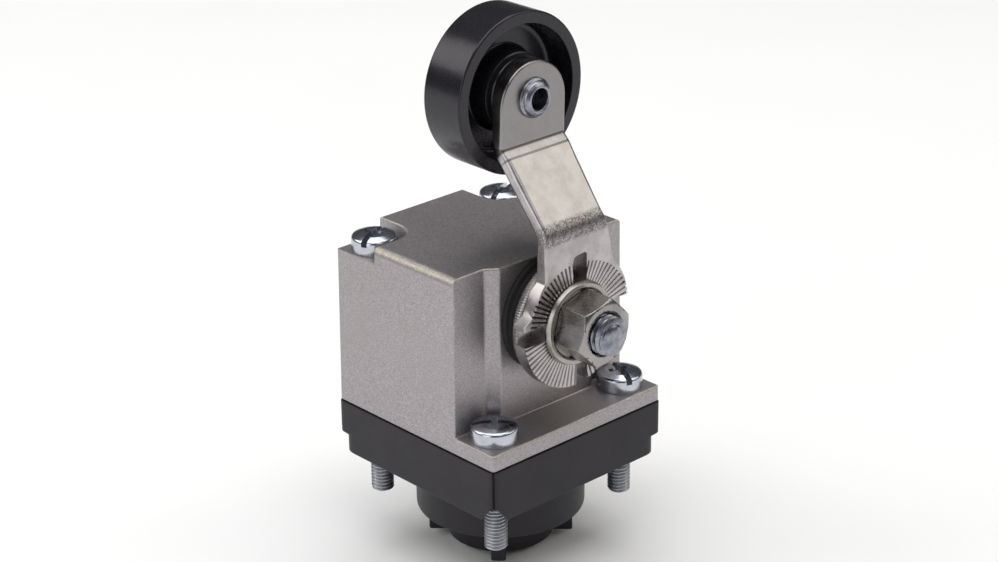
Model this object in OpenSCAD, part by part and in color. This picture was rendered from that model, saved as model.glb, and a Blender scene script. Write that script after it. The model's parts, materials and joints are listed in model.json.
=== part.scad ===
// Operating head of a compact limit switch: a die-cast housing on a square
// black base, a spring-returned shaft, and a cranked lever with a roller.
// Millimetres. +Z is up, -Y is the lever side, and the origin is the centre
// of the base's underside, on the spigot's axis.

/* [Base] */
// How far the base stands proud of the housing all round
base_lip = 0.2; // [0.1:0.1:0.3]
// Height of the black base without its gasket
base_h = 7.3; // [6:0.1:9]
// Radius of the upright corners
corner_r = 1; // [0.5:0.1:1.5]
// Distance between screw axes, both ways
screw_pitch = 22.5; // [21.8:0.1:23]
// Diameter of the locating spigot under the base
spigot_d = 22.7; // [22:0.1:24]
// Length of the spigot below the base
spigot_l = 7.4; // [6:0.1:9]
// Diameter of the core below the spigot
core_d = 14.2; // [13:0.1:15]
// Length of the core below the spigot
core_l = 4.4; // [3:0.1:6]

/* [Housing] */
// Width and depth of the square housing
housing_w = 30; // [29.5:0.5:34]
// Thickness of the base gasket
gasket_t = 0.2; // [0.2:0.1:0.8]
// Thickness of the housing's front flange
flange_t = 2.1; // [1.6:0.1:3]
// Height of the metal housing
housing_h = 23.8; // [23.6:0.1:26]
// Depth of the open ledge in front of the housing
ledge_d = 7.2; // [6.8:0.1:7.4]
// Depth of the shaft's axis below the roof
shaft_drop = 8; // [7.8:0.1:8.4]
// How far the shaft boss stands proud of the front
boss_proud = 1.2; // [0.8:0.1:1.4]
// Width of the shaft boss across its front face
boss_w = 16; // [15:0.5:17]
// Depth of the two rear screw pockets below the roof
pocket_depth = 2.3; // [2:0.1:3]

/* [Lever] */
// Distance from the shaft's axis to the roller's axis
arm_l = 28; // [27.9:0.1:32]
// Thickness of the lever's steel
lever_t = 1.9; // [1.5:0.1:2]
// How far the lever is cranked towards the body
crank = 7.5; // [6:0.1:8]
// Radius of the lever's serrated fan
fan_r = 8.9; // [8.6:0.1:9.5]
// Diameter of the roller
roller_d = 21; // [18:0.1:21]
// Width of the roller across its rim
roller_w = 6.6; // [6:0.1:7]

/* [Screws] */
// Nominal diameter of the four fixing screws
screw_d = 3; // [2.5:0.1:3.2]
// How far the screws reach below the base
screw_reach = 6; // [4:0.1:8]
// Diameter of the screw heads
head_d = 6.1; // [5.5:0.1:6.2]

/* [Hidden] */
$fn = 96;

joint_z = base_h + gasket_t;
ledge_z = joint_z + flange_t;
roof_z = joint_z + housing_h;
pocket_z = roof_z - pocket_depth;
half = housing_w / 2;
base_half = half + base_lip;
body_y = -half + ledge_d;
boss_y = body_y - boss_proud;
screw_at = screw_pitch / 2;
hole_r = screw_d / 2 + 0.2;
shank_r = screw_d / 2 - 0.2;
spigot_bottom = -spigot_l;
core_bottom = spigot_bottom - core_l;
step_inset = 0.9;
step_h = 2.6;

// Chamber inside the housing, open at the bottom
chamber_x = 8.2;
chamber_front = -5.2;
chamber_rear = 11.8;
chamber_top = roof_z - 3.5;

// Shaft line: axis height, then stations along Y from the tip to the rear end
shaft_z = roof_z - shaft_drop;
hub_gap = 2.5;
hub_back = boss_y - hub_gap;
hub_t = 1.1;
lever_back = hub_back - hub_t;
lever_front = lever_back - lever_t;
washer_t = 0.9;
nut_back = lever_front - washer_t;
nut_t = 4.4;
tip_l = 1.7;
tip_y = nut_back - nut_t - tip_l;
thread_r = 2.5;
seat_r = 3.2;
shaft_r = 4;
journal_r = 3;
journal_y = 10.6;
shaft_rear = 13.4;
fit = 0.05;
bush_r = 6;
rear_bush_r = 5;
rear_bush_end = 13.8;
seal_r = 7.8;
seal_tail_r = 7;
seal_tail = 1;
clip_y = -4.9;
clip_t = 0.7;
clip_groove_r = 3.4;
cam_front = -1;
cam_rear = 7;
cam_r = 6;
cam_gap = 0.4;
cam_mid = (cam_front + cam_rear) / 2;
cam_pin_r = 1;

// Roller line
roller_z = shaft_z + arm_l;
arm_half = 5.5;
end_drop = 0.8;
neck_half = 5.2;
upper_front = lever_front + crank;
upper_back = upper_front + lever_t;
neck_l = 13.3;
top_l = 5.8;
low_bend_z = shaft_z + neck_l;
high_bend_z = roller_z - top_l;
end_z = roller_z - end_drop;
rivet_r = 2;
rivet_bore_r = 1.4;
rivet_head_r = 2.6;
rivet_head_t = 1.2;
rivet_tail_t = 0.7;
roller_gap = 0.3;
hub_sunk = 0.3;
hub_recess = 0.9;
roller_front = upper_back + roller_gap;
roller_back = roller_front + roller_w;
roller_hub_back = roller_back - hub_recess;

// Follower and push rod
follower_gap = 0.3;
follower_top = shaft_z - cam_r - follower_gap;
follower_t = 3.4;
follower_x = 8;
follower_front = -4.9;
follower_rear = 11.5;
follower_corner = 2.2;
rod_r = 2;
rod_proud = 0.9;
rod_bottom = core_bottom - rod_proud;
rod_bore_r = rod_r + 0.08;
rod_socket = 2;
well_r = 4.7;
well_floor = 1.6;
seat_t = 0.5;
clip_disc_t = 0.5;
spring_r = 3.4;
spring_wire_r = 0.5;
spring_low = well_floor + seat_t;
spring_high = follower_top - follower_t;
spring_turns = 6;
spring_steps = 14;
spring_sides = 8;

// A slab with upright rounded corners, from (x0, y0) to (x1, y1)
module slab(x0, y0, x1, y1, z0, z1, r) {
  translate([0, 0, z0])
    linear_extrude(height = z1 - z0) {
      translate([x0 + r, y0]) square([x1 - x0 - 2 * r, y1 - y0]);
      translate([x0, y0 + r]) square([x1 - x0, y1 - y0 - 2 * r]);
      for (x = [x0 + r, x1 - r], y = [y0 + r, y1 - r]) translate([x, y]) circle(r = r, $fn = 48);
    }
}

// A round bar along Y
module bar_y(y0, y1, r, z) {
  translate([0, y1, z]) rotate([90, 0, 0]) cylinder(r = r, h = y1 - y0);
}

module ring_y(y0, y1, r_out, r_in, z) {
  difference() {
    bar_y(y0, y1, r_out, z);
    bar_y(y0 - 1, y1 + 1, r_in, z);
  }
}

module screw_holes(z0, z1) {
  for (x = [-screw_at, screw_at], y = [-screw_at, screw_at])
    translate([x, y, z0]) cylinder(r = hole_r, h = z1 - z0, $fn = 48);
}

// The boss's outline, with a slanted strip at each side
module boss() {
  w = boss_w / 2;
  foot = w + 1.5;
  translate([0, 0, ledge_z - 0.5])
    linear_extrude(height = roof_z - ledge_z + 0.5)
      polygon([[-foot, body_y + 0.5], [-foot, body_y], [-w, boss_y], [w, boss_y],
               [foot, body_y], [foot, body_y + 0.5]]);
}

// Corner pocket for a rear screw head, open to the rear and to the side
module rear_pocket(side) {
  wall_r = 3.9;
  inner = screw_at - wall_r;
  top = roof_z + 1;
  mirror([side < 0 ? 1 : 0, 0, 0]) {
    translate([screw_at, screw_at, pocket_z]) cylinder(r = wall_r, h = top - pocket_z);
    translate([screw_at, inner, pocket_z]) cube([wall_r + 1, half - inner + 1, top - pocket_z]);
    translate([inner, screw_at, pocket_z]) cube([half - inner + 1, wall_r + 1, top - pocket_z]);
  }
}

module housing() {
  color([0.66, 0.64, 0.63])
    difference() {
      union() {
        slab(-half, -half, half, half, joint_z, ledge_z, corner_r);
        slab(-half, body_y, half, half, joint_z, roof_z, corner_r);
        boss();
      }
      slab(-chamber_x, chamber_front, chamber_x, chamber_rear, joint_z - 1, chamber_top, 2);
      screw_holes(joint_z - 1, roof_z + 1);
      for (side = [-1, 1]) rear_pocket(side);
      bar_y(chamber_front, cam_rear + cam_gap, cam_r + cam_gap, shaft_z);
      bar_y(boss_y - 1, chamber_front + 1, bush_r, shaft_z);
      bar_y(boss_y - 1, boss_y + seal_tail, seal_tail_r, shaft_z);
      bar_y(chamber_rear - 1, rear_bush_end, rear_bush_r, shaft_z);
    }
}

// Pointed opening at the foot of the front left corner, with a groove above it
module corner_relief() {
  arch_w = 3.4;
  arch_h = 2;
  groove = 0.3;
  rotate([90, 0, 90]) linear_extrude(height = base_half)
    polygon([[-arch_w / 2, -0.1], [arch_w / 2, -0.1], [0.5, arch_h], [-0.5, arch_h]]);
  corner_at = (base_half - screw_at - corner_r) * sqrt(2) + corner_r;
  translate([corner_at, 0, -1]) rotate([0, 0, 45])
    translate([-groove, -groove, 0]) cube([groove * 2, groove * 2, base_h + 2]);
}

module base_adapter() {
  lug_r = 9.7;
  lug_w = 2;
  seal_r = 3.3;
  color([0.2, 0.19, 0.2])
    difference() {
      union() {
        slab(-base_half, -base_half, base_half, base_half, step_h, base_h, corner_r);
        slab(-base_half, -base_half, base_half - step_inset, base_half - step_inset,
             0, step_h, corner_r);
        translate([0, 0, spigot_bottom]) cylinder(r = spigot_d / 2, h = spigot_l + 0.5);
        translate([0, 0, core_bottom]) cylinder(r = core_d / 2, h = core_l + 0.5);
        for (a = [45, 135]) rotate([0, 0, a])
          translate([-lug_r, -lug_w / 2, core_bottom]) cube([2 * lug_r, lug_w, core_l + 0.5]);
      }
      screw_holes(-1, base_h + 1);
      rotate([0, 0, 225]) translate([screw_at * sqrt(2), 0, 0]) corner_relief();
      translate([0, 0, core_bottom - 1]) cylinder(r = rod_bore_r, h = 20, $fn = 64);
      translate([0, 0, core_bottom - 1]) cylinder(r = seal_r, h = 2.5, $fn = 64);
      translate([0, 0, well_floor]) cylinder(r = well_r, h = base_h);
    }
}

module base_gasket() {
  inset = 0.3;
  color([0.07, 0.07, 0.07])
    difference() {
      slab(-half + inset, -half + inset, half - inset, half - inset, base_h, joint_z, corner_r);
      slab(-chamber_x, chamber_front, chamber_x, chamber_rear, base_h - 1, joint_z + 1, 2);
      screw_holes(base_h - 1, joint_z + 1);
    }
}

// Fixing screw: a threaded end, a thinner shank and a domed head with a slot and a cross
module fixing_screw(x, y, seat_z, turn) {
  head_side = 1.9;
  dome = 0.5;
  slot_w = 0.7;
  slot_d = 1.2;
  cross_l = 2.4;
  overlap = 0.2;
  color([0.78, 0.79, 0.8])
    translate([x, y, 0])
      difference() {
        union() {
          translate([0, 0, -screw_reach]) cylinder(r = screw_d / 2, h = screw_reach, $fn = 64);
          translate([0, 0, -overlap]) cylinder(r = shank_r, h = seat_z + 2 * overlap, $fn = 64);
          translate([0, 0, seat_z]) cylinder(r = head_d / 2, h = head_side);
          translate([0, 0, seat_z + head_side]) cylinder(r1 = head_d / 2, r2 = head_d / 2 - 1, h = dome);
        }
        for (a = [0, 90]) rotate([0, 0, turn + a])
          translate([a == 0 ? -head_d : -cross_l / 2, -slot_w / 2, seat_z + head_side + dome - slot_d])
            cube([a == 0 ? 2 * head_d : cross_l, slot_w, slot_d + 1]);
      }
}

module screw_front_left() { fixing_screw(-screw_at, -screw_at, ledge_z, -43); }
module screw_front_right() { fixing_screw(screw_at, -screw_at, ledge_z, 70); }
module screw_rear_left() { fixing_screw(-screw_at, screw_at, pocket_z, 23); }
module screw_rear_right() { fixing_screw(screw_at, screw_at, pocket_z, 25); }

module front_bush() {
  color([0.72, 0.56, 0.32])
    ring_y(boss_y + seal_tail, chamber_front, bush_r, shaft_r + fit, shaft_z);
}

module rear_bush() {
  color([0.72, 0.56, 0.32])
    ring_y(chamber_rear - 0.6, rear_bush_end, rear_bush_r, journal_r + fit, shaft_z);
}

// Rubber shaft seal: a tail pressed into the boss and a wide lip behind the hub
module shaft_seal() {
  lip_gap = 0.2;
  color([0.06, 0.06, 0.06])
    difference() {
      union() {
        bar_y(boss_y, boss_y + seal_tail, seal_tail_r, shaft_z);
        bar_y(hub_back + lip_gap, boss_y, seal_r, shaft_z);
      }
      bar_y(hub_back - 1, boss_y + seal_tail + 1, shaft_r + fit, shaft_z);
    }
}

module rod_seal() {
  color([0.06, 0.06, 0.06])
    difference() {
      translate([0, 0, core_bottom]) cylinder(r = 3.3, h = 1.5, $fn = 64);
      translate([0, 0, core_bottom - 1]) cylinder(r = rod_bore_r, h = 4, $fn = 64);
    }
}

// Shaft: threaded end, hub seat, body with a clip groove and a rear journal
module shaft() {
  tip_chamfer = 0.5;
  color([0.7, 0.7, 0.71])
    difference() {
      translate([0, tip_y, shaft_z]) rotate([-90, 0, 0]) union() {
        cylinder(r1 = thread_r - tip_chamfer, r2 = thread_r, h = tip_chamfer);
        translate([0, 0, tip_chamfer]) cylinder(r = thread_r, h = lever_back - tip_y - tip_chamfer);
        translate([0, 0, lever_back - tip_y]) cylinder(r = seat_r, h = hub_t);
        translate([0, 0, hub_back - tip_y]) cylinder(r = shaft_r, h = journal_y - hub_back);
        translate([0, 0, journal_y - tip_y]) cylinder(r = journal_r, h = shaft_rear - journal_y);
      }
      ring_y(clip_y, clip_y + clip_t, shaft_r + 1, clip_groove_r, shaft_z);
      translate([0, cam_mid, shaft_z - shaft_r - 1])
        cylinder(r = cam_pin_r, h = 2 * shaft_r + 2, $fn = 48);
    }
}

// Two-lobed cam: a disc with a flat underneath that faces the follower
module shaft_cam() {
  flat_at = 4.9;
  color([0.55, 0.55, 0.56])
    difference() {
      ring_y(cam_front, cam_rear, cam_r, shaft_r, shaft_z);
      translate([-cam_r - 1, cam_front - 1, shaft_z - cam_r - 1])
        cube([2 * cam_r + 2, cam_rear - cam_front + 2, cam_r + 1 - flat_at]);
      translate([0, cam_mid, shaft_z - cam_r - 1])
        cylinder(r = cam_pin_r, h = 2 * cam_r + 2, $fn = 48);
    }
}

module cam_pin() {
  pin_low = 4.8;
  pin_l = 10.4;
  color([0.75, 0.75, 0.76])
    translate([0, cam_mid, shaft_z - pin_low]) cylinder(r = cam_pin_r, h = pin_l, $fn = 48);
}

// Open retaining clip in the shaft's groove
module shaft_circlip() {
  clip_r = 5.2;
  opening = 3;
  color([0.4, 0.4, 0.42])
    difference() {
      ring_y(clip_y, clip_y + clip_t, clip_r, clip_groove_r, shaft_z);
      translate([-opening / 2, clip_y - 1, shaft_z]) cube([opening, clip_t + 2, clip_r + 1]);
    }
}

// Hub pressed on the shaft, with a toothed rim
module serrated_hub() {
  rim_r = 8.4;
  tooth = 0.18;
  teeth = 72;
  color([0.68, 0.67, 0.64])
    difference() {
      translate([0, hub_back, shaft_z]) rotate([90, 0, 0])
        linear_extrude(height = hub_t)
          polygon([for (k = [0:2 * teeth - 1])
            let (a = 180 * k / teeth, r = rim_r - (k % 2) * tooth) [r * cos(a), r * sin(a)]]);
      bar_y(lever_back - 1, hub_back + 1, seat_r, shaft_z);
    }
}

// Front outline of the lever, in X and Z
module lever_outline() {
  translate([0, shaft_z]) circle(r = fan_r);
  polygon([[-neck_half, shaft_z + 4], [neck_half, shaft_z + 4], [neck_half, low_bend_z],
           [arm_half, high_bend_z], [arm_half, end_z], [-arm_half, end_z],
           [-arm_half, high_bend_z], [-neck_half, low_bend_z]]);
  translate([0, end_z]) circle(r = arm_half);
}

// Side outline of the cranked strip, in Y and Z
module lever_side() {
  slope = atan((high_bend_z - low_bend_z) / crank);
  shift = lever_t * tan((90 - slope) / 2);
  bottom = shaft_z - fan_r - 1;
  top = roller_z + arm_half + 1;
  polygon([[lever_front, bottom], [lever_back, bottom], [lever_back, low_bend_z - shift],
           [upper_back, high_bend_z - shift], [upper_back, top], [upper_front, top],
           [upper_front, high_bend_z], [lever_front, low_bend_z]]);
}

module lever_arm() {
  slot_w = 2.2;
  slot_d = 0.6;
  slot_in = 5.4;
  color([0.76, 0.75, 0.73])
    difference() {
      intersection() {
        translate([0, 20, 0]) rotate([90, 0, 0]) linear_extrude(height = 60) lever_outline();
        translate([-20, 0, 0]) rotate([90, 0, 90]) linear_extrude(height = 40) lever_side();
      }
      bar_y(lever_front - 1, lever_back + 1, thread_r, shaft_z);
      bar_y(upper_front - 1, upper_back + 1, rivet_r, roller_z);
      for (k = [0:3]) translate([0, 0, shaft_z]) rotate([0, 90 * k, 0])
        translate([slot_in, lever_front - 1, -slot_w / 2]) cube([fan_r, slot_d + 1, slot_w]);
    }
}

module lever_washer() {
  washer_r = 5.6;
  color([0.74, 0.7, 0.58]) ring_y(nut_back, lever_front, washer_r, thread_r, shaft_z);
}

module lever_nut() {
  across_flats = 8.1;
  color([0.76, 0.75, 0.7])
    difference() {
      translate([0, nut_back, shaft_z]) rotate([90, 15, 0])
        cylinder(r = across_flats / 2 / cos(30), h = nut_t, $fn = 6);
      bar_y(nut_back - nut_t - 1, nut_back + 1, thread_r, shaft_z);
    }
}

// Hollow rivet: the roller's axle, rolled over at both ends
module roller_rivet() {
  tail_r = 3.2;
  tail_gap = 0.1;
  tail_y = roller_hub_back + tail_gap;
  color([0.72, 0.72, 0.73])
    difference() {
      union() {
        bar_y(upper_front - rivet_head_t, upper_front, rivet_head_r, roller_z);
        bar_y(upper_front - 0.1, tail_y + 0.1, rivet_r, roller_z);
        bar_y(tail_y, tail_y + rivet_tail_t, tail_r, roller_z);
      }
      bar_y(upper_front - rivet_head_t - 1, tail_y + 2, rivet_bore_r, roller_z);
    }
}

module roller_washer() {
  disc_r = 3.8;
  disc_t = 0.4;
  color([0.72, 0.72, 0.73]) ring_y(upper_back, upper_back + disc_t, disc_r, rivet_r, roller_z);
}

// Roller: a deep-dished wheel with a central hub, sunk a little behind the rim
module roller() {
  rim_wall = 1.6;
  rim_in = roller_d / 2 - rim_wall;
  hub_r = 5.4;
  dish_front = 3.9;
  dish_back = 1.2;
  color([0.12, 0.12, 0.12])
    difference() {
      bar_y(roller_front, roller_back, roller_d / 2, roller_z);
      ring_y(roller_front - 1, roller_front + dish_front, rim_in, hub_r, roller_z);
      bar_y(roller_front - 1, roller_front + hub_sunk, hub_r + 0.5, roller_z);
      ring_y(roller_back - dish_back, roller_back + 1, rim_in, hub_r, roller_z);
      bar_y(roller_hub_back, roller_back + 1, hub_r + 0.5, roller_z);
      bar_y(roller_front - 1, roller_back + 1, rivet_r + 0.06, roller_z);
    }
}

// Slide block under the cam, guided by the chamber's walls
module cam_follower() {
  color([0.85, 0.84, 0.8])
    difference() {
      slab(-follower_x, follower_front, follower_x, follower_rear,
           spring_high, follower_top, follower_corner);
      translate([0, 0, spring_high - 1]) cylinder(r = rod_r, h = rod_socket + 1, $fn = 64);
    }
}

module push_rod() {
  chamfer = 0.4;
  color([0.7, 0.71, 0.72]) {
    translate([0, 0, rod_bottom + chamfer])
      cylinder(r = rod_r, h = spring_high + rod_socket - rod_bottom - chamfer, $fn = 64);
    translate([0, 0, rod_bottom])
      cylinder(r1 = rod_r - chamfer, r2 = rod_r, h = chamfer, $fn = 64);
  }
}

module rod_clip() {
  color([0.4, 0.4, 0.42])
    difference() {
      translate([0, 0, spring_high - clip_disc_t]) cylinder(r = 4.2, h = clip_disc_t, $fn = 64);
      translate([0, 0, spring_high - 1]) cylinder(r = rod_r, h = 2, $fn = 64);
    }
}

module spring_seat() {
  color([0.75, 0.75, 0.76])
    difference() {
      translate([0, 0, well_floor]) cylinder(r = 4.5, h = seat_t, $fn = 64);
      translate([0, 0, well_floor - 1]) cylinder(r = rod_bore_r, h = 3, $fn = 64);
    }
}

// Points of the spring wire: rings of spring_sides points along a helix
function spring_ring(t) =
  let (
    low = spring_low + spring_wire_r,
    high = spring_high - clip_disc_t - spring_wire_r,
    a = 360 * spring_turns * t,
    z = low + (high - low) * t
  )
  [for (k = [0:spring_sides - 1])
    let (b = 360 * k / spring_sides, r = spring_r + spring_wire_r * cos(b))
    [r * cos(a), r * sin(a), z + spring_wire_r * sin(b)]];

module return_spring() {
  rings = spring_turns * spring_steps;
  n = spring_sides;
  points = [for (i = [0:rings]) each spring_ring(i / rings)];
  side_faces = [for (i = [0:rings - 1], k = [0:n - 1])
    [i * n + k, (i + 1) * n + k, (i + 1) * n + (k + 1) % n, i * n + (k + 1) % n]];
  ends = [[for (k = [0:n - 1]) k], [for (k = [n - 1:-1:0]) rings * n + k]];
  color([0.62, 0.63, 0.65]) polyhedron(points = points, faces = concat(side_faces, ends));
}

housing();
base_adapter();
base_gasket();
screw_front_left();
screw_front_right();
screw_rear_left();
screw_rear_right();
front_bush();
rear_bush();
shaft_seal();
rod_seal();
shaft();
shaft_cam();
cam_pin();
shaft_circlip();
serrated_hub();
lever_arm();
lever_washer();
lever_nut();
roller_rivet();
roller_washer();
roller();
cam_follower();
push_rod();
rod_clip();
return_spring();
spring_seat();
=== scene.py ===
"""Roller-lever operating head of a limit switch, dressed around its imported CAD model.

Shapes are built in millimetres in the CAD model's own frame and are scaled to metres at the end.
"""
import json
import math

import bmesh
import bpy
from mathutils import Matrix, Vector


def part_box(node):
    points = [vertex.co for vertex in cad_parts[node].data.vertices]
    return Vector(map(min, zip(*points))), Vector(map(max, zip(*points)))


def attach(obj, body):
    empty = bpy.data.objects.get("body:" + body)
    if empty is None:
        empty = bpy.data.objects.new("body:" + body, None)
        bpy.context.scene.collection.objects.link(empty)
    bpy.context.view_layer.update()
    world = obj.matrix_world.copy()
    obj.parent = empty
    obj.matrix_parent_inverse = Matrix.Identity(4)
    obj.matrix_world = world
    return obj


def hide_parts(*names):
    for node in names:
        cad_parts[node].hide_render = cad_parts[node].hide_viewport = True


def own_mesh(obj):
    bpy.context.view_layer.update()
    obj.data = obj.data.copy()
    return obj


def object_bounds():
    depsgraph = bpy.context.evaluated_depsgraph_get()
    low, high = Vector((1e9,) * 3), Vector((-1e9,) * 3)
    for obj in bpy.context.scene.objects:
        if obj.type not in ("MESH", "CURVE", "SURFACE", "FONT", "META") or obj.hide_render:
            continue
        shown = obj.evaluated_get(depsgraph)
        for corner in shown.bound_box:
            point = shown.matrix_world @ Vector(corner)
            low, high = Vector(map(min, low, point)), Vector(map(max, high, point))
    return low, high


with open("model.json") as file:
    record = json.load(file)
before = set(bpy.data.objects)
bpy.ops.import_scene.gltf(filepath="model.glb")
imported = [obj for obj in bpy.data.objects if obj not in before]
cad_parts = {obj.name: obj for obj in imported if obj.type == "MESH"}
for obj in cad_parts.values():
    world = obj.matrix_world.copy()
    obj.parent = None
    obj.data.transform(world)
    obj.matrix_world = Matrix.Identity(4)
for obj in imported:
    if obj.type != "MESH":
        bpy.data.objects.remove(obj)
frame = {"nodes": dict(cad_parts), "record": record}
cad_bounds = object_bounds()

MM = 0.001
SEGMENTS = 128          # round a turned solid
SMALL_SEGMENTS = 64     # round a screw or its hole
M3_PITCH = 0.5
M5_PITCH = 0.8
ROWS_PER_PITCH = 8      # profile rows along one turn of a thread
LEAST_FOLD = 20         # degrees: flatter edges are not rounded
UPWARD = 0.12           # how far up a rounded face looks before it gets the edge band of wear and painted highlight
CORNERS = ((-1, -1), (1, -1), (1, 1), (-1, 1))


# ---------------------------------------------------------------- the frame

def span(node):
    """A CAD node's lowest and highest corners, in millimetres."""
    low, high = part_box(node)
    return low / MM, high / MM


def middle(node):
    low, high = span(node)
    return (low + high) / 2


SHAFT_Z = middle("serrated_hub").z
ROLLER_Z = middle("roller").z
ROOF_Z = span("housing")[1].z
JOINT_Z = span("housing")[0].z
UPPER_BEND_DROP = 5.8   # from the roller's axis down to the lever's upper bend


# ---------------------------------------------------------------- mesh tools

def solid(name, bm):
    """An object from a bmesh, with its normals facing out."""
    bmesh.ops.remove_doubles(bm, verts=bm.verts, dist=1e-5)
    bmesh.ops.recalc_face_normals(bm, faces=bm.faces)
    mesh = bpy.data.meshes.new(name)
    bm.to_mesh(mesh)
    bm.free()
    piece = bpy.data.objects.new(name, mesh)
    bpy.context.scene.collection.objects.link(piece)
    return piece


def skin(name, rings, looped=False):
    """A solid over a row of rings of equal length. A looped row closes on itself and has no caps."""
    bm = bmesh.new()
    rows = [[bm.verts.new(point) for point in ring] for ring in rings]
    count = len(rings[0])
    following = rows[1:] + rows[:1] if looped else rows[1:]
    for here, there in zip(rows, following):
        for k in range(count):
            n = (k + 1) % count
            bm.faces.new((here[k], here[n], there[n], there[k]))
    if not looped:
        for cap in (rows[0], rows[-1]):
            if (cap[0].co - cap[1].co).length > 1e-6:
                bm.faces.new(cap)
    return solid(name, bm)


def upright(x, y):
    """Places turned shapes round a vertical axis."""
    return lambda r, a, h: (x + r * math.cos(a), y + r * math.sin(a), h)


def along_y(z):
    """Places turned shapes round an axis that runs along Y at height z."""
    return lambda r, a, h: (r * math.cos(a), h, z + r * math.sin(a))


def lathe(name, profile, place, segments=SEGMENTS, looped=False, shape=None):
    """A turned solid. The profile holds (radius, station) pairs, and shape may alter a radius."""
    turns = [math.tau * k / segments for k in range(segments)]
    rings = [[place(shape(r, a, h) if shape else r, a, h) for a in turns] for r, h in profile]
    return skin(name, rings, looped)


def soften(corners, steps=5, looped=False):
    """Rounds a chain of (u, v, radius) corners. A corner given as (u, v) stays sharp."""
    out = []
    last = len(corners) - 1
    for i, corner in enumerate(corners):
        here = Vector(corner[:2])
        if len(corner) < 3 or (not looped and i in (0, last)):
            out.append(tuple(here))
            continue
        back = Vector(corners[i - 1][:2]) - here
        ahead = Vector(corners[0 if i == last else i + 1][:2]) - here
        cut = corner[2] / math.tan(back.angle(ahead) / 2)
        cut = min(cut, 0.49 * back.length, 0.49 * ahead.length)
        start = here + back.normalized() * cut
        end = here + ahead.normalized() * cut
        for k in range(steps + 1):
            t = k / steps
            out.append(tuple((1 - t) ** 2 * start + 2 * t * (1 - t) * here + t * t * end))
    return out


def inset(outline, depth_at):
    """Moves each corner of an anticlockwise outline inwards by depth_at(x, y)."""
    out = []
    for i, corner in enumerate(outline):
        here = Vector(corner)
        back = (here - Vector(outline[i - 1])).normalized()
        ahead = (Vector(outline[(i + 1) % len(outline)]) - here).normalized()
        inward = Vector((-back.y - ahead.y, back.x + ahead.x)) / (1 + back.dot(ahead))
        out.append(tuple(here + inward * depth_at(*corner)))
    return out


def rounded_plate(name, outline, thickness, radius_at, steps=4):
    """A flat plate about Z = 0 whose rims are rounded on both faces."""
    rings = []
    for side in (-1, 1):
        for k in range(steps + 1):
            a = math.pi / 2 * (k if side > 0 else steps - k) / steps
            flat = inset(outline, lambda x, y: radius_at(x, y) * (1 - math.cos(a)))
            rings.append([(x, y, side * (thickness / 2 - radius_at(*spot) * (1 - math.sin(a))))
                          for (x, y), spot in zip(flat, outline)])
    return skin(name, rings)


def prism(name, outline, low, high):
    """A flat outline in X and Y, extruded from low to high."""
    return skin(name, [[(x, y, z) for x, y in outline] for z in (low, high)])


def block(name, low, high):
    corners = [(low[0], low[1]), (high[0], low[1]), (high[0], high[1]), (low[0], high[1])]
    return prism(name, corners, low[2], high[2])


def square(half, radius):
    """A square outline with rounded corners."""
    return soften([(x * half, y * half, radius) for x, y in CORNERS], looped=True)


def arc(radius, start, end, steps, centre=(0, 0)):
    """Points on an arc, with its angles in degrees."""
    turns = [math.radians(start + (end - start) * k / steps) for k in range(steps + 1)]
    return [(centre[0] + radius * math.cos(a), centre[1] + radius * math.sin(a)) for a in turns]


def bake(piece):
    """Applies a piece's modifiers to its mesh."""
    bpy.context.view_layer.update()
    graph = bpy.context.evaluated_depsgraph_get()
    mesh = bpy.data.meshes.new_from_object(piece.evaluated_get(graph))
    old = piece.data
    piece.modifiers.clear()
    piece.data = mesh
    bpy.data.meshes.remove(old)


def combine(piece, tool, operation):
    step = piece.modifiers.new("combine", "BOOLEAN")
    step.operation = operation
    step.solver = "EXACT"
    step.object = tool
    bake(piece)
    bpy.data.objects.remove(tool)


def cut(piece, *tools):
    for tool in tools:
        combine(piece, tool, "DIFFERENCE")
    return piece


def join(piece, *tools):
    for tool in tools:
        combine(piece, tool, "UNION")
    return piece


def turn(piece, degrees, axis, centre=(0, 0, 0)):
    """Turns a piece's mesh about an axis through centre."""
    there = Matrix.Translation(centre)
    piece.data.transform(there @ Matrix.Rotation(math.radians(degrees), 4, axis) @ there.inverted())
    return piece


def round_edges(piece, radius_of, segments=4, worn_and_highlit=True):
    """Rounds each edge by radius_of(middle, direction, fold), and marks what it rounds for wear and a
    painted highlight.

    fold is the edge's angle in degrees, negative where the edge is a hollow one.
    """
    bm = bmesh.new()
    bm.from_mesh(piece.data)
    radii = {}
    for edge in bm.edges:
        if len(edge.link_faces) != 2:
            continue
        fold = math.degrees(edge.calc_face_angle_signed(0))
        if abs(fold) > LEAST_FOLD:
            a, b = edge.verts[0].co, edge.verts[1].co
            radii[edge.index] = radius_of((a + b) / 2, (b - a).normalized(), fold)
    widest = max(radii.values())
    weight = bm.edges.layers.float.get("bevel_weight_edge")
    weight = weight or bm.edges.layers.float.new("bevel_weight_edge")
    for edge in bm.edges:
        edge[weight] = radii.get(edge.index, 0) / widest
    bm.to_mesh(piece.data)
    bm.free()
    piece.data.materials.clear()
    piece.data.materials.append(None)
    piece.data.materials.append(None)
    bevel = piece.modifiers.new("round", "BEVEL")
    bevel.limit_method = "WEIGHT"
    bevel.width = widest
    bevel.segments = segments
    bevel.use_clamp_overlap = False
    bevel.material = 1
    bake(piece)
    mark_wear_and_highlight(piece, worn_and_highlit)
    return piece


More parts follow.
